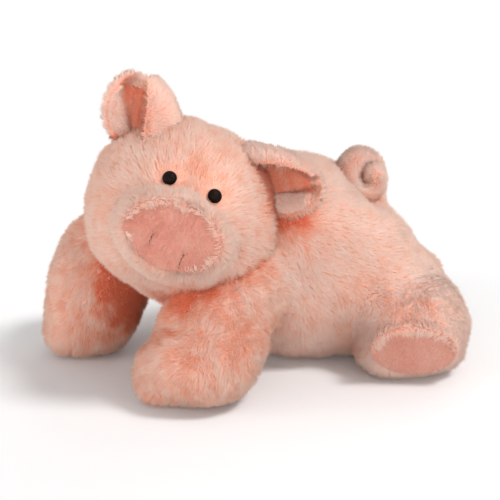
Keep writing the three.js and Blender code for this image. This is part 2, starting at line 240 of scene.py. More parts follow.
def heading_over(points, tree, reach):
    """Each point's distance from a closed surface, under 0 inside it, and the way out there."""
    gap, out = np.full(len(points), float(reach)), np.zeros((len(points), 3))
    for i, p in enumerate(points):
        spot, normal, _, distance = tree.find_nearest(Vector(p), reach)
        if spot is None:
            continue
        off = p - np.array(spot)
        sign = -1 if off @ np.array(normal) < 0 else 1
        gap[i] = sign * distance
        out[i] = np.array(normal) if distance < 1.0 else sign * off / distance
    return gap, out


def height_over(points, tree, reach=40.0):
    return heading_over(points, tree, reach)[0]


# The pig's dimensions, as in the CAD

TORSO = {
    "path": [(0, 118, 46), (0, 84, 49), (0, 30, 68.2), (0, -24, 84), (0, -66, 86), (0, -96, 84)],
    "widths": [46, 76, 89, 84, 69, 48],
    "heights": [34, 46.5, 76.5, 83.1, 77, 52],
    "blunt": 2.5, "cap": 0.6, "boxy": 2.3,
}
HEAD_CENTRE = np.array([14.0, -125, 140])
HEAD_RADII = np.array([77.0, 73, 75])
HEAD_TURN = turned("Z", 63) @ turned("X", -15) @ turned("Y", 23)
MUZZLE = {
    "path": [(0, -42, -19), (0, -68, -19), (0, -92, -19)],
    "widths": [42, 44, 42],
    "heights": [31, 32, 30],
    "blunt": 3.6, "cap": 0.14,
}
NOSE = {"centre": (0, -96.6, -19), "across": 38.5, "up": 26, "deep": 8}
EYE = {"across": 18.7, "up": 21, "radius": 5.7}
LEGS = {
    "front_leg_right": {
        "blunt": 2.8, "cap": 0.42,
        "path": [(-60, -98, 106), (-80, -130, 90), (-87, -159, 58), (-83, -173, 20)],
        "widths": [34, 38, 42, 42],
        "heights": [34, 38, 44, 46],
    },
    "front_leg_left": {
        "blunt": 3, "cap": 0.36,
        "path": [(56, -84, 90), (64, -117, 73), (75, -143, 46), (78, -172, 34)],
        "widths": [36, 40, 47, 51],
        "heights": [37, 40, 35, 37],
    },
}
for name, s in zip(SIDES, (1, -1)):
    LEGS["rear_leg_" + name] = {
        "blunt": 2.9, "cap": 0.35, "boxy": 2.3,
        "path": [(s * 60, 76, 46), (s * 89, 56, 42), (s * 114, 38, 37), (s * 131, 26, 32)],
        "widths": [44, 46, 44, 41],
        "heights": [38, 41, 36.5, 32.5],
    }
SOLE = {"across": 35, "up": 23, "deep": 7, "proud": 2.5, "rise": 5}
EAR = {
    "base": (59, -12, 44),
    "height": 50,
    "lobe": (25, 9, 60),  # how wide and deep, and by how many degrees it bends
    "flap": (39, 14),
    "back": 3.5, "lining": 2.5, "gap": 0.4,
}
EAR_POSE = {"left": (54, 38), "right": (7, 8)}  # degrees of lean and tilt

# How the ears lie, unlike the CAD's
FLAP_BEND = {"left": 132, "right": 165}  # the left flap has come open
FLAP_WIDE = {"left": 0, "right": 3.5}  # by how much each is wider
LOBE_WIDE = {"left": -5, "right": 0}
EAR_DROP = {"left": (1.2, -0.7, -3.8), "right": (0, -2.3, -3.3)}
FOLD_SLOPE = {"left": 0.22, "right": 0.49}  # how fast the fold widens towards the tip
FOLD_END = {"left": 0.78, "right": 0.56}  # where the fold's painted shade ends across the flap

TAIL = {
    "root": (4, 73, 95),
    "stem": (5, 71, 120),
    "centre": (14, 55, 151.5),
    "ring": 12, "from": -5, "turn": 330, "sideways": 18,
    "thick": 9.2, "thin": 7.5,
    "puff": 1.6,  # by how much the pile makes it fuller than the CAD's skin
    "wound": 0.72,  # the share of the ring's radius that the curl has lost at its tip
    "further": 140,  # the degrees that its tip winds on, in front of the CAD's
    "towards": (6.5, -6.5),  # how far the curl leans forward over the back
}


def in_head(points):
    return np.asarray(points, float) @ HEAD_TURN.T + HEAD_CENTRE


def from_head(points):
    return (points - HEAD_CENTRE) @ HEAD_TURN


def settled(form):
    """The form lowered until the floor flattens it by half a millimetre."""
    lowest = stuffed(form, 30, 32)[:, 2].min()
    return {**form, "path": [(x, y, z - lowest - 0.5) for x, y, z in form["path"]]}


def stuffed_piece(name, form, rings, sides, place=np.asarray):
    return new_mesh(name, place(stuffed(form, rings, sides)), ring_faces(rings, sides))


def pad_form(pad, centre, out):
    """A sewn-on pad: the middle 70 % of its depth is a tube, and its caps are the rest."""
    centre, out = np.asarray(centre, float), np.asarray(out, float)
    half = pad["deep"] / 2 * 0.7
    return {
        "path": [centre - out * half, centre, centre + out * half],
        "widths": [pad["across"]] * 3,
        "heights": [pad["up"]] * 3,
        "blunt": 3,
        "cap": (pad["deep"] / 2 - half) / ((pad["across"] + pad["up"]) / 2),
    }


# Surfaces

leg_forms = {name: settled(form) for name, form in LEGS.items()}

def uneven(obj, *swells, inset, dent=0.0):
    """Stuffing pushes a surface out in swells, each (how far, how long, seed)."""
    co = points_of(obj)
    swell = sum(far * waves(co, size, seed) for far, size, seed in swells)
    displaced(obj, swell - inset - dent)


body = stuffed_piece("body_plush", settled(TORSO), 70, 72)
uneven(body, (1.4, 70, 1), (0.5, 26, 2), inset=1.5)
on_floor(body)

HEAD_ROWS, HEAD_SIDES = 46, 64
latitude = np.linspace(0, math.pi, HEAD_ROWS + 2)[:, None]
longitude = np.arange(HEAD_SIDES)[None, :] * (2 * math.pi / HEAD_SIDES)
level = np.sin(latitude)
ball = [level * np.cos(longitude), np.cos(latitude) + 0 * longitude, level * np.sin(longitude)]
ball = np.stack(ball, axis=-1)
ball = np.vstack([ball[0, :1], ball[1:-1].reshape(-1, 3), ball[-1, :1]])
head = new_mesh("head_plush", in_head(ball * HEAD_RADII), ring_faces(HEAD_ROWS, HEAD_SIDES))
eye_spots, eye_ways = {}, {}  # where each eye sits, and the way that it faces
for name, side in zip(SIDES, (1, -1)):
    x, z = side * EYE["across"], EYE["up"]
    y = -HEAD_RADII[1] * math.sqrt(1 - (x / HEAD_RADII[0]) ** 2 - (z / HEAD_RADII[2]) ** 2)
    spot = np.array([x, y, z])
    eye_spots[name], eye_ways[name] = in_head(spot), HEAD_TURN @ unit(spot / HEAD_RADII**2)
dent = 1.6 * sum(fade(points_of(head), spot, 9.0) for spot in eye_spots.values())
uneven(head, (1.0, 60, 3), (0.4, 24, 4), inset=1.5, dent=dent)

muzzle = stuffed_piece("muzzle_plush", MUZZLE, 40, 64, in_head)
uneven(muzzle, (0.6, 40, 5), inset=1.0)

nose_form = pad_form(NOSE, NOSE["centre"], (0, -1, 0))
nose = stuffed_piece("nose_pad_cloth", nose_form, 60, 120, in_head)

legs = {}
for k, (name, form) in enumerate(leg_forms.items()):
    legs[name] = stuffed_piece(name + "_plush", form, 44, 48)
    uneven(legs[name], (1.0, 48, 10 + k), (0.4, 20, 20 + k), inset=1.0)
    on_floor(legs[name])


def drawn(obj, *moves):
    """Draws a surface near each spot (x, y, z) along its way (x, y, z), fading over its reach."""
    for *numbers, reach in moves:
        points, spot, way = points_of(obj), numbers[:3], np.array(numbers[3:], float)
        set_points(obj, points + fade(points, spot, reach)[:, None] * way)


# Where the stuffing sits heavier or lighter than in the plain forms: brow, chin and muzzle,
drawn(
    head,
    (4, -95, 208, 0.9, -0.5, -2.8, 34), (-33, -181, 168, 1.3, 2.1, 0, 26),
    (2, -184, 82, 0.2, 4, 5.5, 26), (40, -162, 75, -1.5, 3, 7, 22),
    (82, -116, 98, 2.5, -1.6, -6.5, 26),
)
drawn(
    muzzle,
    (2, -184, 82, 0.1, 2.5, 3.5, 22), (92, -140, 100, 1.2, -0.8, -4, 22),
)
# the rump and the belly, with a dent under the tail, and the near hip,
drawn(
    body,
    (28, 92, 98, -1, -6, -5, 30), (22, 82, 108, 0, -3, -5, 24),
    (39, 42, 146, -3, 2, -15, 26), (34, 36, 138, -2, 1, -5, 18),
    (4, -2, 164, 0, 0, 3, 22), (52, 58, 127, -0.4, -2.9, -3.4, 20),
    (20, 132, 68, -0.9, -4.4, -3.8, 24), (58, 20, 8, 2, 0, -5, 24),
    (20, -42, 6, 1, 0, -4, 24),
)
drawn(
    legs["rear_leg_left"],
    (92, 14, 12, -2.5, -6, -3, 22), (88, 0, 4, -3, -4.5, 0, 20),
    (110, 4, 4, 3.5, -4.5, -1, 18), (150, 62, 12, 2.5, 4, -1, 20),
    (95, 88, 66, -1, -3, -3, 26), (122, 84, 66, -2, -2.5, -2, 24),
)
# and the front paws spread on the floor
drawn(
    legs["front_leg_right"],
    (-40, -172, 8, 9, 1, 0, 24), (-60, -205, 6, 3.5, -4, -1, 26),
    (-92, -208, 6, 3, -9, -1, 26), (-78, -197, 4, 6, -4, -1, 22),
    (-60, -150, 8, 2.6, 4, 0, 20), (-52, -152, 26, 2.6, 4.2, 0, 24),
    (-115, -190, 65, 3, 5, 0, 26), (-100, -164, 108, -1.5, -2.5, 1.5, 24),
)
drawn(
    legs["front_leg_left"],
    (99, -168, 3, -8, 5, 2, 26), (105, -188, 5, -4, 2.5, 1, 28),
    (50, -185, 10, -1, -3, -2, 24), (42, -192, 3, -3, -7, -1, 15),
    (35, -185, 52, 2.5, 3, 0, 20), (128, -150, 14, 4, 2.5, -1, 20),
    (58, -182, 4, 2, -5, -1, 18), (88, -104, 5, 3, 3.5, -1, 18),
    (90, -112, 12, 1.5, 2, -1, 24),
)

rooted = {}  # for each surface, 1 where it stands out of the surfaces that it was fused with
fillets = {}  # for each surface, its points in fillets, how far in, and the way out there


def fuse(first, second, low, high, rise=(30, 70)):
    """Gives both surfaces one fillet where they meet.

    It is low millimetres wide at the lower height of rise, and high at the upper.
    """
    trees = tree_of(first), tree_of(second)
    for obj, own, other in ((first, *trees), (second, *trees[::-1])):
        points = points_of(obj)
        width = low + (high - low) * smooth(points[:, 2], *rise)
        start = np.trunc(height_over(points, other, high))  # whole millimetres are enough
        rooted[obj.name] = rooted.get(obj.name, 1.0) * smooth(start, -1.5, 1.0)
        near = np.flatnonzero((start > -10) & (start < width))
        span, sunk = width[near], 3 * smooth(-start[near], 0, 6)
        place = points[near].copy()
        for _ in range(3):
            (d1, n1), (d2, n2) = (heading_over(place, tree, 2 * high) for tree in (own, other))
            share = np.clip(1 - np.abs(d1 - d2) / span, 0, 1)
            level = np.minimum(d1, d2) - share**2 * span / 4 + sunk
            part = np.where(d2 < d1, 1 - share / 2, share / 2)[:, None]
            slope = n1 * (1 - part) + n2 * part
            place -= slope * (level / np.maximum((slope**2).sum(axis=1), 0.3))[:, None]
        moved = smooth(start[near], -10, -3)[:, None]
        points[near] += moved * (place - points[near])
        set_points(obj, points)
        turn = (smooth(share, 0, 0.3) * smooth(start[near], -6, -1))[:, None]
        fillets.setdefault(obj.name, []).append((near, turn, unit(slope)))


def outward(obj):
    """The surface's normals, steadied in its fillets, where its mesh dives under its neighbour."""
    out = normals_of(obj)
    for near, turn, slope in fillets.get(obj.name, []):
        out[near] = unit(out[near] * (1 - turn) + slope * turn)
    return out


for name, leg in legs.items():
    fuse(body, leg, *((14, 38) if "rear" in name else (16, 34)))
for piece in (body, legs["rear_leg_left"]):
    drawn(
        piece,
        (92, 78, 95, -1.5, -3.5, -4.5, 22), (25, 84, 106, 0, -2, -3, 22),
        (64, 97, 81, -0.9, -4, -3.6, 20),
    )
for piece in (body, *legs.values()):
    on_floor(piece)
fuse(head, muzzle, 14, 14)

soles, sole_out = {}, {}
for name in SIDES:
    form = leg_forms["rear_leg_" + name]
    path = np.asarray(form["path"])
    out = unit(path[-1] - path[-2])
    depth = form["cap"] * form["widths"][3] - SOLE["deep"] / 2 + SOLE["proud"]
    centre = path[-1] + out * depth + np.array([0, 0, SOLE["rise"]])
    soles[name] = stuffed_piece(f"sole_{name}_cloth", pad_form(SOLE, centre, out), 40, 80)
    sole_out[name] = out


def ear_sheet(u, v, which):
    """The middle surface of an ear: u runs across it, lobe first, and v from base to tip."""
    lobe = u < 0.5
    wide = np.where(lobe, EAR["lobe"][0] + LOBE_WIDE[which], EAR["flap"][0] + FLAP_WIDE[which])
    deep = np.where(lobe, EAR["lobe"][1], EAR["flap"][1])
    bend = np.radians(np.where(lobe, EAR["lobe"][2], FLAP_BEND[which]))
    round_ = np.where(
        lobe,
        np.sqrt(np.maximum(0, 1 - np.abs(1.9 * v - 0.9) ** 2.6)),
        np.sqrt(np.maximum(0, 1 - v**4)),
    )
    taper = np.where(lobe, 1, 1 - 0.55 * v)
    angle = bend * np.abs(1 - 2 * u)
    across = np.where(lobe, 1, -1) * wide * np.sin(angle) / np.sin(np.minimum(bend, math.pi / 2))
    return np.stack(
        [across * round_ * taper, -deep * (1 - np.cos(angle)) * taper, EAR["height"] * v], axis=-1
    )


def fold_edge(v, which):
    """Where the lobe turns down into the fold, which is wide at the tip and narrow at the base."""
    return 0.5 - FOLD_SLOPE[which] * v


# painted shade: deep in the fold, where the flap shades the lining
def painted_fold_shade(u, v, which):
    return smooth(u - fold_edge(v, which), -0.05, 0.08) * smooth(FOLD_END[which] - u, 0, 0.05)


def ear_relief(u, v, which):
    """How far an ear stands forward of the CAD's: its lobe is puffed and its fold is sunk."""
    edge = fold_edge(v, which)
    puffed = 3.0 * np.sin(math.pi * np.clip(u / edge, 0, 1))
    sunk = -4.0 * np.sin(math.pi * np.clip((u - edge) / (0.5 - edge + 1e-6), 0, 1))
    return np.where(u < edge, puffed, sunk) * smooth(v, 0, 0.15) * smooth(0.97 - v, 0, 0.25)


EAR_ACROSS, EAR_ALONG = 48, 30  # points of a leaf


def leaf_faces(across, along):
    """Faces of a closed leaf: its back and its front, each a grid of points, and the rim."""
    layer = across * along
    faces = []
    for start in range(0, layer - across, across):
        for a in range(start, start + across - 1):
            b = a + across
            faces.append([a, b, b + 1, a + 1])
            faces.append([layer + a, layer + a + 1, layer + b + 1, layer + b])
        for a in (start, start + across - 1):
            quad = [a, layer + a, layer + a + across, a + across]
            faces.append(quad if a == start else quad[::-1])
    for a in range(across - 1):
        tip = layer - across + a
        faces.append([a, a + 1, layer + a + 1, layer + a])
        faces.append([tip, layer + tip, layer + tip + 1, tip + 1])
    return faces


def on_front(points):
    """1 on the front leaf of an ear's layer and 0 on its back."""
    return (np.arange(len(points)) >= len(points) // 2).astype(float)


def ear_layer(name, which, near, far, span=(0.0, 1.0), top=0.97):
    """A leaf with a round edge, from near to far in front of the ear's middle, and its u and v."""
    u, v = np.meshgrid(np.linspace(*span, EAR_ACROSS), np.linspace(0, top, EAR_ALONG))
    step = 1e-3
    towards_u = ear_sheet(np.minimum(1, u + step), v, which)
    towards_u -= ear_sheet(np.maximum(0, u - step), v, which)
    towards_v = ear_sheet(u, v + step, which) - ear_sheet(u, np.maximum(0, v - step), which)
    front = unit(np.cross(towards_v, towards_u))
    rim = np.maximum(np.abs(2 * (u - span[0]) / (span[1] - span[0]) - 1) ** 6, (v / top) ** 8)
    half = np.sqrt(np.clip(1 - rim, 0.02, 1))[..., None] * (far - near) / 2
    depth = (near + far) / 2 + ear_relief(u, v, which)
    middle = ear_sheet(u, v, which) + front * depth[..., None]
    leaves = (middle - front * half, middle + front * half)
    points = np.vstack([leaf.reshape(-1, 3) for leaf in leaves])
    faces = leaf_faces(EAR_ACROSS, EAR_ALONG)
    lean, tilt = EAR_POSE[which]
    place = turned("Y", lean) @ turned("X", tilt)
    points = points @ place.T + np.asarray(EAR["base"], float)
    if which == "left":
        faces = [f[::-1] for f in faces]
    else:
        points[:, 0] *= -1
    leaf = new_mesh(name, in_head(points) + EAR_DROP[which], faces)
    return leaf, np.tile(u.ravel(), 2), np.tile(v.ravel(), 2)


LINING_SPAN, LINING_TOP = (0.05, 0.95), 0.8  # the plush rolls over the rim, and ends there
LINING_DEPTHS = EAR["gap"], EAR["gap"] + EAR["lining"]
ears, linings, ear_maps, lining_maps = {}, {}, {}, {}
for name in SIDES:
    ears[name], *ear_maps[name] = ear_layer(f"ear_{name}_plush", name, -EAR["back"], 0)
    linings[name], *lining_maps[name] = ear_layer(
        f"ear_{name}_lining_cloth", name, *LINING_DEPTHS, LINING_SPAN, LINING_TOP
    )


def tail_line():
    """A hundred points at even steps from the tail's root to its tip."""
    t = np.arange(13) / 12
    a = np.radians(TAIL["from"] + (TAIL["turn"] + TAIL["further"]) * t)
    ring = (TAIL["ring"] + 1) * (1 - TAIL["wound"] * smooth(t, 0.45, 1))
    aside, back = TAIL["towards"]
    x = TAIL["stem"][0] + aside * smooth(t, 0, 0.3) + TAIL["sideways"] * smooth(t, 0, 1)
    y = TAIL["centre"][1] + back * smooth(t, 0, 0.2) + ring * np.cos(a)
    z = TAIL["centre"][2] - 2 * TAIL["puff"] + ring * np.sin(a)
    points = np.vstack([TAIL["root"], TAIL["stem"], np.column_stack([x, y, z])])
    line = spline(points, np.linspace(0, 1, 400))
    length = np.concatenate([[0], np.cumsum(norm(np.diff(line, axis=0), axis=1))])
    even = np.linspace(0, length[-1], 100)
    return np.column_stack([np.interp(even, length, line[:, k]) for k in range(3)])


def tube(name, line, radius, side, up, sides, cap):
    """A closed tube round a line, whose end points stand out by cap."""
    a = 2 * math.pi * np.arange(sides) / sides
    x, y = radius[:, None] * np.cos(a), radius[:, None] * np.sin(a)
    grid = line[:, None] + side[:, None] * x[..., None] + up[:, None] * y[..., None]
    first, last = tangents(line)[[0, -1]]
    points = np.vstack([line[0] - first * cap, grid.reshape(-1, 3), line[-1] + last * cap])
    return new_mesh(name, points, ring_faces(len(line), sides))


tail_path = tail_line()
tail_flow = tangents(tail_path)
side = unit(np.array([1.0, 0, 0]) - tail_flow * tail_flow[:, :1])
part = np.linspace(0, 1, len(tail_path))
radius = TAIL["puff"] * smooth(part, 0.2, 0.4) + TAIL["thick"]
radius += (TAIL["thin"] - TAIL["thick"]) * part
radius *= np.sqrt(np.clip(1 - (2 * part - 1) ** 24, 0.1, 1))  # round at both ends
tail = tube("tail_plush", tail_path, radius, side, np.cross(tail_flow, side), 20, 2)


# Materials

def shader(name):
    material = bpy.data.materials.new(name)
    material.use_nodes = True
    return material, material.node_tree, material.node_tree.nodes["Principled BSDF"]


def wire(tree, node, **inputs):
    """Gives inputs a value or another node's output; a name's underscores stand for spaces."""
    for name, value in inputs.items():
        socket = node.inputs[name.replace("_", " ")]
        if isinstance(value, bpy.types.NodeSocket):
            tree.links.new(value, socket)
        else:
            socket.default_value = value
    return node


def add_node(tree, kind, **inputs):
    return wire(tree, tree.nodes.new("ShaderNode" + kind), **inputs)


def colour(code):
    """A linear colour from the red, green and blue that a picture shows, as in HTML."""
    values = [c / 255 for c in bytes.fromhex(code)]
    return (*[c / 12.92 if c <= 0.04045 else ((c + 0.055) / 1.055) ** 2.4 for c in values], 1)


def ramp(tree, factor, stops):
    """The colour at factor on a ramp."""
    node = add_node(tree, "ValToRGB", Fac=factor)
    elements = node.color_ramp.elements
    while len(elements) < len(stops):
        elements.new(0.5)
    for element, (place, code) in zip(elements, stops.items()):
        element.position, element.color = place, colour(code)
    return node.outputs["Color"]


def noise(tree, scale, detail, roughness):
    place = add_node(tree, "TexCoord").outputs["Object"]
    node = add_node(tree, "TexNoise", Vector=place, Scale=scale, Detail=detail, Roughness=roughness)
    return node.outputs["Fac"]


def mixed(tree, factor, first, second):
    mix = add_node(tree, "Mix")
    mix.data_type = "RGBA"
    return wire(tree, mix, Factor=factor, A=first, B=second).outputs["Result"]


def larger(tree, first, second):
    node = add_node(tree, "Math")
    node.operation = "MAXIMUM"
    tree.links.new(first, node.inputs[0])
    tree.links.new(second, node.inputs[1])
    return node.outputs["Value"]


def map_numbers(tree, uv_map):
    """The two numbers of a map, as the outputs X and Y."""
    place = add_node(tree, "UVMap")
    place.uv_map = uv_map
    return add_node(tree, "SeparateXYZ", Vector=place.outputs["UV"]).outputs


def pile_material(name, roots, tips):
    """Plush strands: the map's first number picks the tint, its second runs from root to tip, and
    the roots are painted deeper, as shade down in the pile.
    """
    material, tree, main = shader(name)
    number = map_numbers(tree, FUR_MAPS[0])
    low, high = (ramp(tree, number["X"], stops) for stops in (roots, tips))
    tone = mixed(tree, number["Y"], low, high)
    wire(tree, main, Base_Color=tone, Roughness=0.9, Specular_IOR_Level=0.15)
    wire(tree, main, Sheen_Weight=0.25, Sheen_Roughness=0.45, Sheen_Tint=colour("ffd6c2"))
    return material


def cloth_material(name, dark, mid, light, scale, fold=None):
    """Short dense pile: mottled, with a fine nap, and painted with redder shade where the map fold
    runs to 1.
    """
    material, tree, main = shader(name)
    tone = ramp(tree, noise(tree, scale, 4, 0.65), {0.3: dark, 0.5: mid, 0.72: light})
    if fold is not None:
        # painted shade in the fold: a deep red over the lining's tone
        tone = mixed(tree, map_numbers(tree, fold)["X"], tone, colour("fc9270"))
    height = noise(tree, scale * 6, 3, 0.7)
    nap = add_node(tree, "Bump", Strength=0.5, Distance=0.0012, Height=height)
    wire(tree, main, Base_Color=tone, Normal=nap.outputs["Normal"])
    wire(tree, main, Roughness=0.92, Specular_IOR_Level=0.15)
    wire(tree, main, Sheen_Weight=0.5, Sheen_Roughness=0.5, Sheen_Tint=colour("ffded0"))
    return material


# its deep tints are painted shade in hollows; round the plain tint the spread is random tone
PLUSH_PILE = pile_material(
    "plush_pile",
    {0: "e25c38", 0.3: "f3a286", 0.55: "f9c2ad", 1: "faccbc"},
    {0: "f0825e", 0.3: "f4b49a", 0.55: "f4cebc", 1: "f7e1d6"},
)
NAP_PILE = pile_material(
    "short_pile_strands",
    {0: "cc7a67", 0.5: "d7907e", 1: "e4a897"},
    {0: "e8a492", 0.5: "f4baa8", 1: "fcd0c0"},
)
# its deep end is the painted shade of the ears' folds
LINING_PILE = pile_material(
    "ear_lining_strands",
    {0: "e27050", 0.5: "ee9e84", 1: "f6c6b2"},
    {0: "f49474", 0.5: "f8bea8", 1: "fcded0"},
)
PLUSH_BASE = cloth_material("plush_backing", "f09c7e", "f6b096", "fac2ac", 70)
NAP_BASE = cloth_material("short_pile_backing", "de927e", "eaa490", "f4b8a6", 160)
LINING_BASE = cloth_material("ear_lining_cloth", "de866c", "f0aa92", "fac8b6", 120, "fold")


def eye_material():
    material, tree, main = shader("eye_black")
    scuffs = noise(tree, 900, 2, 0.5)
    gloss = add_node(tree, "MapRange", Value=scuffs, To_Min=0.42, To_Max=0.52).outputs["Result"]
    tone = ramp(tree, scuffs, {0.3: "0c0403", 0.7: "160907"})
    wire(tree, main, Base_Color=tone, Roughness=gloss, Specular_IOR_Level=0.08)
    return material


def plain_material(name, dark, light, scale, roughness):
    material, tree, main = shader(name)
    tone = ramp(tree, noise(tree, scale, 3, 0.6), {0.35: dark, 0.65: light})
    wire(tree, main, Base_Color=tone, Roughness=roughness)
    return material


EYE_BLACK = eye_material()
NYLON = plain_material("washer_nylon", "deded6", "ecece6", 300, 0.5)
THREAD = plain_material("nostril_thread", "783830", "9e564a", 900, 0.8)


def wear(obj, material):
    obj.data.materials.clear()
    obj.data.materials.append(material)


def rides(pieces, body_name):
    for piece in pieces:
        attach(piece, body_name)


# Fur

STRANDS_MAX = 64000  # of a piece: each strand has three faces
ROOT_DEPTH = 0.6  # how far inside its surface a strand starts
ROOT_REST, TIP_REST = 0.2, 0.4  # the heights at which roots and tips rest on the floor
TINT_SPAN = 0.004  # how far a strand reaches to both sides in its maps
PATTERN = 77  # the seed of tufts and tints, which run on over pieces that meet


def clumped(roots, size, seed):
    """For each root, the middle of its tuft and the tuft's own random number.

    Space is cut into cells of that size, and a hash of the cell puts one tuft into each.
    """
    cell = np.floor(roots / size).astype(np.int64)
    best = np.full(len(roots), np.inf)
    middle = np.zeros_like(roots)
    number = np.zeros(len(roots))
    for step in np.ndindex(3, 3, 3):
        near = cell + np.array(step) - 1
        key = near[:, 0] * 73856093 ^ near[:, 1] * 19349663 ^ near[:, 2] * 83492791 ^ seed
        draws = []
        for k in range(4):
            key = (key * 1103515245 + 12345 + k * 7919) % (1 << 31)
            draws.append(key / (1 << 31))
        spot = (near + np.stack(draws[:3], axis=1)) * size
        gap = ((spot - roots) ** 2).sum(axis=1)
        closer = gap < best
        best = np.where(closer, gap, best)
        middle[closer] = spot[closer]
        number[closer] = draws[3][closer]
    return middle, number


def growing_area(points, tri, keep):
    """The area on which strands grow in each triangle, in square millimetres."""
    corners = points[tri]
    double = np.cross(corners[:, 1] - corners[:, 0], corners[:, 2] - corners[:, 0])
    return norm(double, axis=1) / 2 * keep[tri].mean(axis=1)


def along_surface(v, out):
    return v - out * (v * out).sum(axis=1, keepdims=True)


def strand_mesh(name, co, uv, shading):
    """Strands of four points each, the last of them its tip, with three sides and no foot."""
    first = 4 * np.arange(len(co) // 4)
    sides = [np.stack([first + i, first + (i + 1) % 3, first + 3], axis=1) for i in range(3)]
    faces = np.stack(sides, axis=1).reshape(-1, 3)
    data = bpy.data.meshes.new(name)
    data.vertices.add(len(co))
    write(data.vertices, "co", co * MM)
    data.loops.add(faces.size)
    write(data.loops, "vertex_index", faces, np.int32)
    data.polygons.add(len(faces))
    write(data.polygons, "loop_start", np.arange(0, faces.size, 3), np.int32)
    data.polygons.foreach_set("use_smooth", [True] * len(faces))
    data.update(calc_edges=True)
    for map_name in FUR_MAPS:
        write(data.uv_layers.new(name=map_name).data, "uv", uv)
    data.normals_split_custom_set_from_vertices(shading.astype(np.float32).tolist())
    return add_object(name, data)


def fur(name, obj, keep, comb, count, seed, length=7.5, width=0.85, tint=0.5, clump=7.0, lean=38,
        scale=1, turn=1.2, material=PLUSH_PILE):
    """Strands that grow from obj where keep is over 0, lean over along comb, and gather in tufts.

    Tint runs from 0, deep, to 1, pale. Clump is the size of the tufts, and turn says how much of
    a strand's own roundness its shading shows.
    """
    rng = np.random.default_rng(seed)
    points, normals, tri = points_of(obj), outward(obj), triangles_of(obj)
    weight = growing_area(points, tri, keep)
    pick = np.searchsorted(np.cumsum(weight), rng.uniform(0, weight.sum(), count))
    pick = pick.clip(0, len(tri) - 1)
    r1, r2 = np.sqrt(rng.uniform(size=count)), rng.uniform(size=count)
    share = np.column_stack([1 - r1, r1 * (1 - r2), r1 * r2])

    def between(values):
        if np.ndim(values) == 0:
            return values
        return np.einsum("nk,nk...->n...", share, values[tri[pick]])

    roots, out = between(points), unit(between(normals))
    flow = along_surface(between(comb), out)
    swirl = np.column_stack([waves(roots, 48, PATTERN + k, 6) for k in (1, 2, 3)])
    flow = flow / np.maximum(norm(flow, axis=1, keepdims=True), 0.45) + 0.35 * swirl
    flow = unit(along_surface(flow, out))
    degrees = lean + 9 * waves(roots, 30, PATTERN + 4, 6) + rng.normal(0, 9, count)
    angle = np.radians(degrees).clip(0.1, 1.35)
    way = out * np.cos(angle)[:, None] + flow * np.sin(angle)[:, None]
    way = unit(way + rng.normal(0, 0.13, (count, 3)))
    long = length * rng.uniform(0.75, 1.15, count) * between(scale)
    middle, number = clumped(roots, clump, PATTERN)
    pull = along_surface(middle - roots, out)
    reach = np.maximum(norm(pull, axis=1, keepdims=True), 1e-6)
    pull *= np.minimum(1, 0.9 * clump / reach)
    tips = roots + way * long[:, None] + 0.3 * pull
    tips[:, 2] = np.maximum(tips[:, 2], TIP_REST)
    a = unit(np.cross(way, rng.normal(size=(count, 3))))
    b = np.cross(way, a)
    radius = width / 2 * rng.uniform(0.75, 1.25, count)[:, None]
    base = roots - out * ROOT_DEPTH
    thirds = (0, 2 * math.pi / 3, 4 * math.pi / 3)
    ring = [base + radius * (a * math.cos(t) + b * math.sin(t)) for t in thirds]
    for corner in ring:
        corner[:, 2] = np.maximum(corner[:, 2], ROOT_REST)
    shade = between(tint)
    shade = shade + 0.15 * (number - 0.5) + 0.07 * waves(roots, 16, PATTERN + 5, 8)
    shade = shade + 0.06 * waves(roots, 50, PATTERN + 6, 8) + rng.normal(0, 0.07, count)
    shade = np.clip(shade, 0.03, 0.97)
    uv = np.zeros((count, 3, 3, 2))  # for each strand, side and corner
    uv[..., 0] = np.stack([shade - TINT_SPAN, shade + TINT_SPAN, shade], axis=1)[:, None, :]
    uv[..., 2, 1] = 1
    soft = unit(out + 0.3 * way)
    normals = [unit(soft + turn * unit(corner - base)) for corner in ring] + [soft]
    co, shading = (np.stack(rows, axis=1).reshape(-1, 3) for rows in ([*ring, tips], normals))
    pile = strand_mesh(name, co, uv, shading)
    wear(pile, material)
    return pile


# How deep each place lies among the forms: the pile's colour is painted deeper there, as painted
# shade

def hollow(obj, tree, rays=20, start=4, reach=100.0):
    """The share of what each point looks out on that other forms fill."""
    k = np.arange(rays) + 0.5
    rise, spin = np.sqrt(1 - k / rays), math.pi * (1 + math.sqrt(5)) * k
    level = np.sqrt(1 - rise**2)
    points, out = points_of(obj), outward(obj)
    steep = np.abs(out[:, 2:]) >= 0.9
    side = unit(np.cross(out, np.where(steep, (1.0, 0, 0), (0.0, 0, 1))))
    up = np.cross(out, side)
    filled = np.zeros(len(points))
    for x, y, z in np.column_stack([level * np.cos(spin), level * np.sin(spin), rise]):
        ways = side * x + up * y + out * z
        for i, (place, way) in enumerate(zip(points + out * start, ways)):
            if tree.ray_cast(Vector(place), Vector(way), reach)[0] is not None:
                filled[i] += 1
    return filled / rays


around = tree_of(body, head, muzzle, *legs.values(), *ears.values(), tail)


def tint_with_painted_shade(obj, plain=0.64, deep=0.54):
    # painted shade: the tint drops by up to deep where other forms close round a place
    return plain - deep * smooth(hollow(obj, around), 0.08, 0.5)


# Where each surface shows: its height over the surfaces that it goes into

pieces = {"body": body, "head": head, "muzzle": muzzle, "nose": nose, **legs}
pieces.update({"sole_" + name: soles[name] for name in SIDES})
trees = {name: tree_of(piece) for name, piece in pieces.items()}


def shows(obj, covers):
    """1 where strands can be seen, and 0 deeper in a cover than its number of millimetres."""
    points = points_of(obj)
    keep = rooted.get(obj.name, 1.0) * np.ones(len(points))
    for other, deep in covers.items():
        keep *= smooth(height_over(points, trees[other]), -deep - 1.5, -deep + 0.5)
    return keep * smooth(points[:, 2], 0.0, 2.5)


def away_from(points, centre):
    return unit(points - np.asarray(centre))


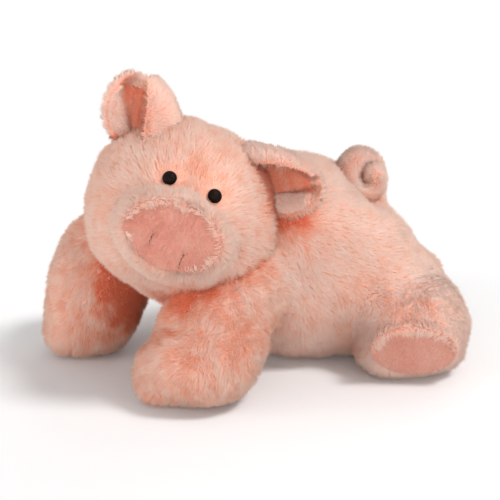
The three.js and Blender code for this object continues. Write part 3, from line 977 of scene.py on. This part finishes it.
def grow(name, obj, keep, comb, density, seed, **settings):
    """Strands at so many to the square millimetre, split so that no piece has too many."""
    count = int(growing_area(points_of(obj), triangles_of(obj), keep).sum() * density)
    parts = math.ceil(count / STRANDS_MAX)
    names = [f"{name}_{k + 1}" for k in range(parts)] if parts > 1 else [name]
    return [
        fur(part, obj, keep, comb, count // parts, seed + 100 * k, **settings)
        for k, part in enumerate(names)
    ]


def body_comb(points):
    """Down and to the rear, and straight down at the shoulders."""
    back = smooth(points[:, 1], -100, -10)
    return unit(np.column_stack([0 * back, 0.75 * back, -0.65 - 0.35 * (1 - back)]))


def leg_comb(points, along):
    """Down a leg, turning from the body's own way where it stands on the body."""
    part = smooth(height_over(points, trees["body"]), -5, 25)[:, None]
    return body_comb(points) * (1 - part) + (0.6 * along + np.array([0, 0, -0.8])) * part


def smooth_hip(points):
    """The strands' lengths: shorter over the near sole, where the pile lies smooth."""
    return 1 - 0.35 * fade(points, (124, 20, 64), 24)


co = points_of(body)
tint = tint_with_painted_shade(body) - 0.24 * fade(co, (64, -50, 134), 18)  # painted shadow under the left ear
body_fur = grow(
    "body_pile", body, shows(body, {"head": 2}), body_comb(co), 1.5, 1000, tint=tint,
    scale=smooth_hip(co), length=8.5, width=0.9,
)


def part_fur(points, keep, comb):
    """Parts fur round the eyes, where it is short: where it grows, its way and its length."""
    near = np.full(len(points), np.inf)
    for spot in eye_spots.values():
        distance = norm(points - spot, axis=1)
        parted = 1 - smooth(distance, 9, 18)[:, None]
        comb = comb * (1 - parted) + away_from(points, spot) * parted
        near = np.minimum(near, distance)
    return keep * smooth(near, 5.8, 7.2), comb, 0.25 + 0.75 * smooth(near, 7, 19)


co = points_of(head)
snout = in_head([(0, -75, -19)])[0]
keep = shows(head, {"body": 13, "front_leg_left": 10, "front_leg_right": 10})
keep, comb, scale = part_fur(co, keep, away_from(co, snout))
brow = np.mean(list(eye_spots.values()), axis=0)
tint = tint_with_painted_shade(head, 0.58) - 0.07 * fade(co, brow, 24)  # painted shade between the eyes
head_fur = grow("head_pile", head, keep, comb, 1.7, 2000, tint=tint, scale=scale, lean=43)

co = points_of(muzzle)
over_nose = smooth(14 - height_over(co, trees["nose"]), 0, 7)[:, None]  # it leans in over the nose
comb = away_from(co, in_head([(0, -110, -19)])[0]) * (1 - over_nose)
comb += unit(in_head([(0, -99, -19)])[0] - co) * over_nose
keep, comb, scale = part_fur(co, shows(muzzle, {"nose": 1}), comb)
tint = tint_with_painted_shade(muzzle, 0.7)
muzzle_fur = grow("muzzle_pile", muzzle, keep, comb, 1.9, 3000, tint=tint, scale=scale)


def rim_tufts(name, pad, size, out, top, seed):
    """Pile that lies in over the edge of a sewn-on pad, in uneven tufts."""
    points = points_of(pad)
    middle = points.mean(axis=0)
    side = unit(np.cross(top, out))
    x = (points - middle) @ side / size["across"]
    y = (points - middle) @ np.cross(out, side) / size["up"]
    ring = norm(np.column_stack([x, y]), axis=1) + 0.05 * waves(points, 20, seed, 8)
    ring += 0.1 * y.clip(-0.6, 1)
    keep = smooth(ring, 0.94, 1.0) * smooth(normals_of(pad) @ out, -0.6, -0.1)
    comb = unit(middle - points)
    return grow(name, pad, keep, comb, 2.6, seed, tint=0.66, length=7.2, lean=56)


nose_out = unit(HEAD_TURN @ np.array([0, -1.0, 0]))
nose_top = HEAD_TURN @ np.array([0, 0, 1.0])
nose_rim = rim_tufts("nose_rim_pile", nose, NOSE, nose_out, nose_top, 3500)
sole_rims = {
    name: rim_tufts(
        f"sole_{name}_rim_pile", soles[name], SOLE, sole_out[name], (0, 0, 1.0), 3600 + 50 * k
    )
    for k, name in enumerate(SIDES)
}

leg_fur = {}
for k, (name, leg) in enumerate(legs.items()):
    co = points_of(leg)
    path = np.asarray(leg_forms[name]["path"])
    keep = shows(leg, {"head": 3, "muzzle": 3})
    if "rear" in name:
        keep *= shows(leg, {"sole_" + name.split("_")[-1]: 0.5})
    # painted shade: the front legs are deeper, shaded by the head; the rear legs are painted paler
    # over their shaded side, with less painted shade in hollows
    tint = tint_with_painted_shade(leg, 0.48) if "front" in name else tint_with_painted_shade(leg, 0.74, 0.36)
    leg_fur[name] = grow(
        name + "_pile", leg, keep, leg_comb(co, unit(path[-1] - path[0])), 1.6, 4000 + 1000 * k,
        tint=tint, scale=smooth_hip(co), length=7.4, width=0.87, lean=44, turn=0.8,
    )

ear_fur = {}
for k, (name, ear) in enumerate(ears.items()):
    co = points_of(ear)
    u, v = ear_maps[name]
    covered = smooth(u, 0.02, 0.07) * smooth(1 - u, 0.02, 0.07)
    covered = covered * smooth(LINING_TOP - v, -0.02, 0.03)
    keep = (1 - covered * on_front(co)) * smooth(height_over(co, trees["head"]), -1.0, 1.0)
    base = in_head([np.array(EAR["base"]) * (1 if name == "left" else -1, 1, 1)])[0]
    ear_fur[name] = grow(
        f"ear_{name}_pile", ear, keep, away_from(co, base), 2.2, 9000 + 500 * k,
        tint=tint_with_painted_shade(ear, 0.78), length=5.6, width=0.8, clump=5, turn=2.6,
    )

co = points_of(tail)
nearest = np.argmin(((co[:, None] - tail_path[None]) ** 2).sum(axis=2), axis=1)
tail_fur = grow(
    "tail_pile", tail, shows(tail, {"body": 5}), tail_flow[nearest], 2.2, 10500,
    tint=tint_with_painted_shade(tail, 0.82, 0.5), length=5.5, width=0.8, clump=4.5,
)

# Eyes

EYE_ROWS, EYE_SIDES = 16, 48
EYE_STEM = [(2.0, -1.6), (2.0, -9.0), (1.2, -10.5)]  # radius and height of each ring behind it
EYE_END = -11.0
EYE_DOME, EYE_DEPTH = 4.0, 0.6  # how high it is domed, and how deep it sits in the pile

a = np.linspace(0, math.pi / 2, EYE_ROWS)
profile = [(EYE["radius"] * math.sin(t), EYE_DOME * math.cos(t) - EYE_DEPTH) for t in a]
profile += [(EYE["radius"] * 0.96, -1.1), *EYE_STEM]
b = 2 * math.pi * np.arange(EYE_SIDES) / EYE_SIDES
rings = [
    np.column_stack([r * np.cos(b), r * np.sin(b), np.full(EYE_SIDES, y)]) for r, y in profile[1:]
]
points = np.vstack([[(0, 0, profile[0][1])], *rings, [(0, 0, EYE_END)]])
faces = [f[::-1] for f in ring_faces(len(rings), EYE_SIDES)]
for name, spot in eye_spots.items():
    turn = Vector((0, 0, 1)).rotation_difference(Vector(eye_ways[name])).to_matrix()
    eye = new_mesh(f"eye_{name}_dome", points @ np.array(turn).T + spot, faces)
    wear(eye, EYE_BLACK)
    rides([eye], "head")
    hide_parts("eye_" + name)
    wear(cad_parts["eye_washer_" + name], NYLON)

# Nostrils: two stitched lines that draw the nose in

NOSTRILS = {  # across and up, in the head's frame
    "right": [(-14.3, -22.4), (-14.8, -26.6), (-14.4, -30.8)],
    "left": [(12.4, -28.6), (12.0, -35.5), (12.8, -41.0)],
}
NOSTRIL_FRONT = -101.0  # how far forward of the head's centre their marks are made
THREAD_RADIUS, THREAD_PROUD = 0.65, 0.25


def nostril_line(marks, count=24):
    marks = np.column_stack([marks, np.zeros(len(marks))])
    flat = spline(marks, np.linspace(0, 1, count))
    return np.column_stack([flat[:, 0], np.full(count, NOSTRIL_FRONT), flat[:, 1]])


nostril_lines = {name: nostril_line(marks) for name, marks in NOSTRILS.items()}


def nostril_gaps():
    """How far each point of the nose is from each nostril's line, seen from the front."""
    flat = from_head(points_of(nose))[:, None, [0, 2]]
    lines = [path[None, :, [0, 2]] for path in nostril_lines.values()]
    return [np.min(norm(flat - line, axis=2), axis=1) for line in lines]


sink = np.zeros(len(nose.data.vertices))
for gap in nostril_gaps():
    sink += 1.5 * np.exp(-((gap / 2.2) ** 2)) + 0.6 * np.exp(-((gap / 6.0) ** 2))
displaced(nose, -sink + 0.25 * waves(points_of(nose), 9, 41))
nose_tree = tree_of(nose)

for name, path in nostril_lines.items():
    places = []
    for p in in_head(path - (0, 20, 0)):
        spot, normal, _, _ = nose_tree.ray_cast(Vector(p), Vector(HEAD_TURN @ (0, 1, 0)))
        places.append(np.array(spot) + THREAD_PROUD * np.array(normal))
    places = np.array(places)
    across = unit(np.cross(tangents(places), nose_out))
    step = np.arange(len(places))
    size = THREAD_RADIUS * np.sqrt(np.clip(1 - np.linspace(-1, 1, len(places)) ** 6, 0.1, 1))
    size = size * (1 + 0.18 * np.sin(step * 2.1))
    if name == "left":
        size = size * (0.8 + 1.3 * np.exp(-((step / 3.0) ** 2)))  # its stitch starts with a knot
    out = np.tile(nose_out, (len(places), 1))
    thread = tube(f"nostril_{name}_thread", places, size, across, out, 8, 0)
    wear(thread, THREAD)
    rides([thread], "head")

# Short pile on the nose, the soles and the ear linings

NAP = {"length": 1.9, "width": 0.65, "clump": 3.0, "lean": 35}


def nap(name, obj, keep, count, seed, material=NAP_PILE, **settings):
    comb = np.tile((0.2, 0.1, -1.0), (len(obj.data.vertices), 1))
    return fur(name, obj, keep, comb, count, seed, material=material, **settings)


co = points_of(nose)
keep = (from_head(co)[:, 1] < NOSE["centre"][1] - 0.5).astype(float)
keep *= smooth(np.min(nostril_gaps(), axis=0), 0.5, 1.3)
tint = 0.42 + 0.14 * waves(co, 26, 51, 8)
nose_fur = nap("nose_pad_nap", nose, keep, 22000, 21000, tint=tint, **NAP)
sole_fur = {}
for k, (name, sole) in enumerate(soles.items()):
    keep = smooth(normals_of(sole) @ sole_out[name], 0.0, 0.3)
    sole_fur[name] = nap(f"sole_{name}_nap", sole, keep, 17000, 22000 + k * 50, **NAP)
lining_fur = {}
for k, (name, lining) in enumerate(linings.items()):
    co = points_of(lining)
    keep = on_front(co) * smooth(height_over(co, trees["head"]), -1.0, 0.5)
    u, v = lining_maps[name]
    # painted shade in the fold, through the map fold and the nap's tint
    deep = painted_fold_shade(u, v, name)
    corner = read(lining.data.loops, "vertex_index", 1, np.int32)[:, 0]
    fold = lining.data.uv_layers.new(name="fold").data
    write(fold, "uv", np.column_stack([deep[corner], v[corner]]))
    lining_fur[name] = nap(
        f"ear_{name}_lining_nap", lining, keep, 16000, 23000 + k * 50, LINING_PILE, length=2.4,
        width=0.75, clump=4, lean=40, tint=0.94 - 0.82 * deep,
    )


# What each piece is, stands for and rides on

BLEND_SPAN = (0.32, 0.78)  # the stretch of a leg's path whose two ends are found for each leg
BASES = {"plush": PLUSH_BASE, "short_pile": NAP_BASE, "ear_lining": LINING_BASE}


def settle(obj, piles, body_name, fill, *nodes, slot="plush"):
    """A stuffed piece on its body, with the pile that is of the same cloth."""
    wear(obj, BASES[slot])
    rides([obj, *piles], body_name)
    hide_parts(*nodes)


settle(body, body_fur, "torso", 0.75, "body_skin", "body_stuffing")
settle(head, head_fur, "head", 0.8, "head_skin", "head_stuffing")
settle(muzzle, muzzle_fur, "head", 0.8, "muzzle_skin", "muzzle_stuffing")
settle(nose, [nose_fur], "head", 0.6, "nose_pad", slot="short_pile")
rides(nose_rim, "head")
for name, leg in legs.items():
    wear(leg, PLUSH_BASE)
    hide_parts(name.replace("leg_", "leg_skin_"), name.replace("leg_", "leg_stuffing_"))
    path = np.asarray(leg_forms[name]["path"])
    start, end = spline(path, BLEND_SPAN) * MM
    for piece in [leg, *leg_fur[name]]:
        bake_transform(piece)
for name in SIDES:
    rear, ear = "rear_leg_" + name, "ear_" + name
    settle(soles[name], [sole_fur[name]], rear, 0.5, "sole_" + name, slot="short_pile")
    rides(sole_rims[name], rear)
    settle(ears[name], ear_fur[name], ear, 0.3, "ear_back_" + name)
    lining = "ear_lining_" + name
    settle(linings[name], [lining_fur[name]], ear, 0.2, lining, slot="ear_lining")
settle(tail, tail_fur, "tail", 0.7, "tail_skin", "tail_stuffing")


# Floor, background and light

WHITE = (1, 1, 1, 1)
BOUNCE = (0.88, 0.88, 0.88, 1)  # the paper's white as it lights the pig
FLOOR_HALF = 6000
AMBIENT = 0.41
SUNS = {  # azimuth, elevation, strength and width in degrees
    "key": (122, 54, 1.6, 16),
    "fill": (52, 3, 1.6, 40),
    "right": (98, 4, 0.95, 40),
    "left": (-12, 8, 1.35, 40),
    "back": (215, 16, 0.85, 60),
}


def floor_material():
    """White paper to the camera, and a little less than white to the pig."""
    material, tree, main = shader("floor_white")
    rays = add_node(tree, "LightPath").outputs
    seen = larger(tree, rays["Is Camera Ray"], rays["Is Glossy Ray"])
    tone = mixed(tree, seen, BOUNCE, WHITE)
    wire(tree, main, Base_Color=tone, Roughness=0.9, Specular_IOR_Level=0.0)
    return material


corners = [(x * FLOOR_HALF, y * FLOOR_HALF, 0) for x, y in ((-1, -1), (1, -1), (1, 1), (-1, 1))]
floor = new_mesh("floor", corners, [(0, 1, 2, 3)])
wear(floor, floor_material())


for name, (azimuth, elevation, strength, angle) in SUNS.items():
    data = bpy.data.lights.new(name, "SUN")
    data.energy, data.angle = strength, math.radians(angle)
    lamp = add_object(name, data)
    towards = direction(math.radians(azimuth), math.radians(elevation))
    lamp.rotation_mode = "QUATERNION"
    lamp.rotation_quaternion = towards.to_track_quat("Z", "Y")


def add_world():
    """Pure white to the camera, in mirrors and through glass, and dimmer light on the pig."""
    SCENE.world = bpy.data.worlds.new("world")
    SCENE.world.use_nodes = True
    tree = SCENE.world.node_tree
    light = wire(tree, tree.nodes["Background"], Color=WHITE, Strength=AMBIENT)
    seen = add_node(tree, "Background", Color=WHITE, Strength=1.0)
    rays = add_node(tree, "LightPath").outputs
    clear = larger(tree, rays["Is Glossy Ray"], rays["Is Transmission Ray"])
    blend = add_node(tree, "MixShader", Fac=larger(tree, rays["Is Camera Ray"], clear))
    tree.links.new(light.outputs["Background"], blend.inputs[1])
    tree.links.new(seen.outputs["Background"], blend.inputs[2])
    wire(tree, tree.nodes["World Output"], Surface=blend.outputs["Shader"])


add_world()
SCENE.view_settings.view_transform = "Standard"
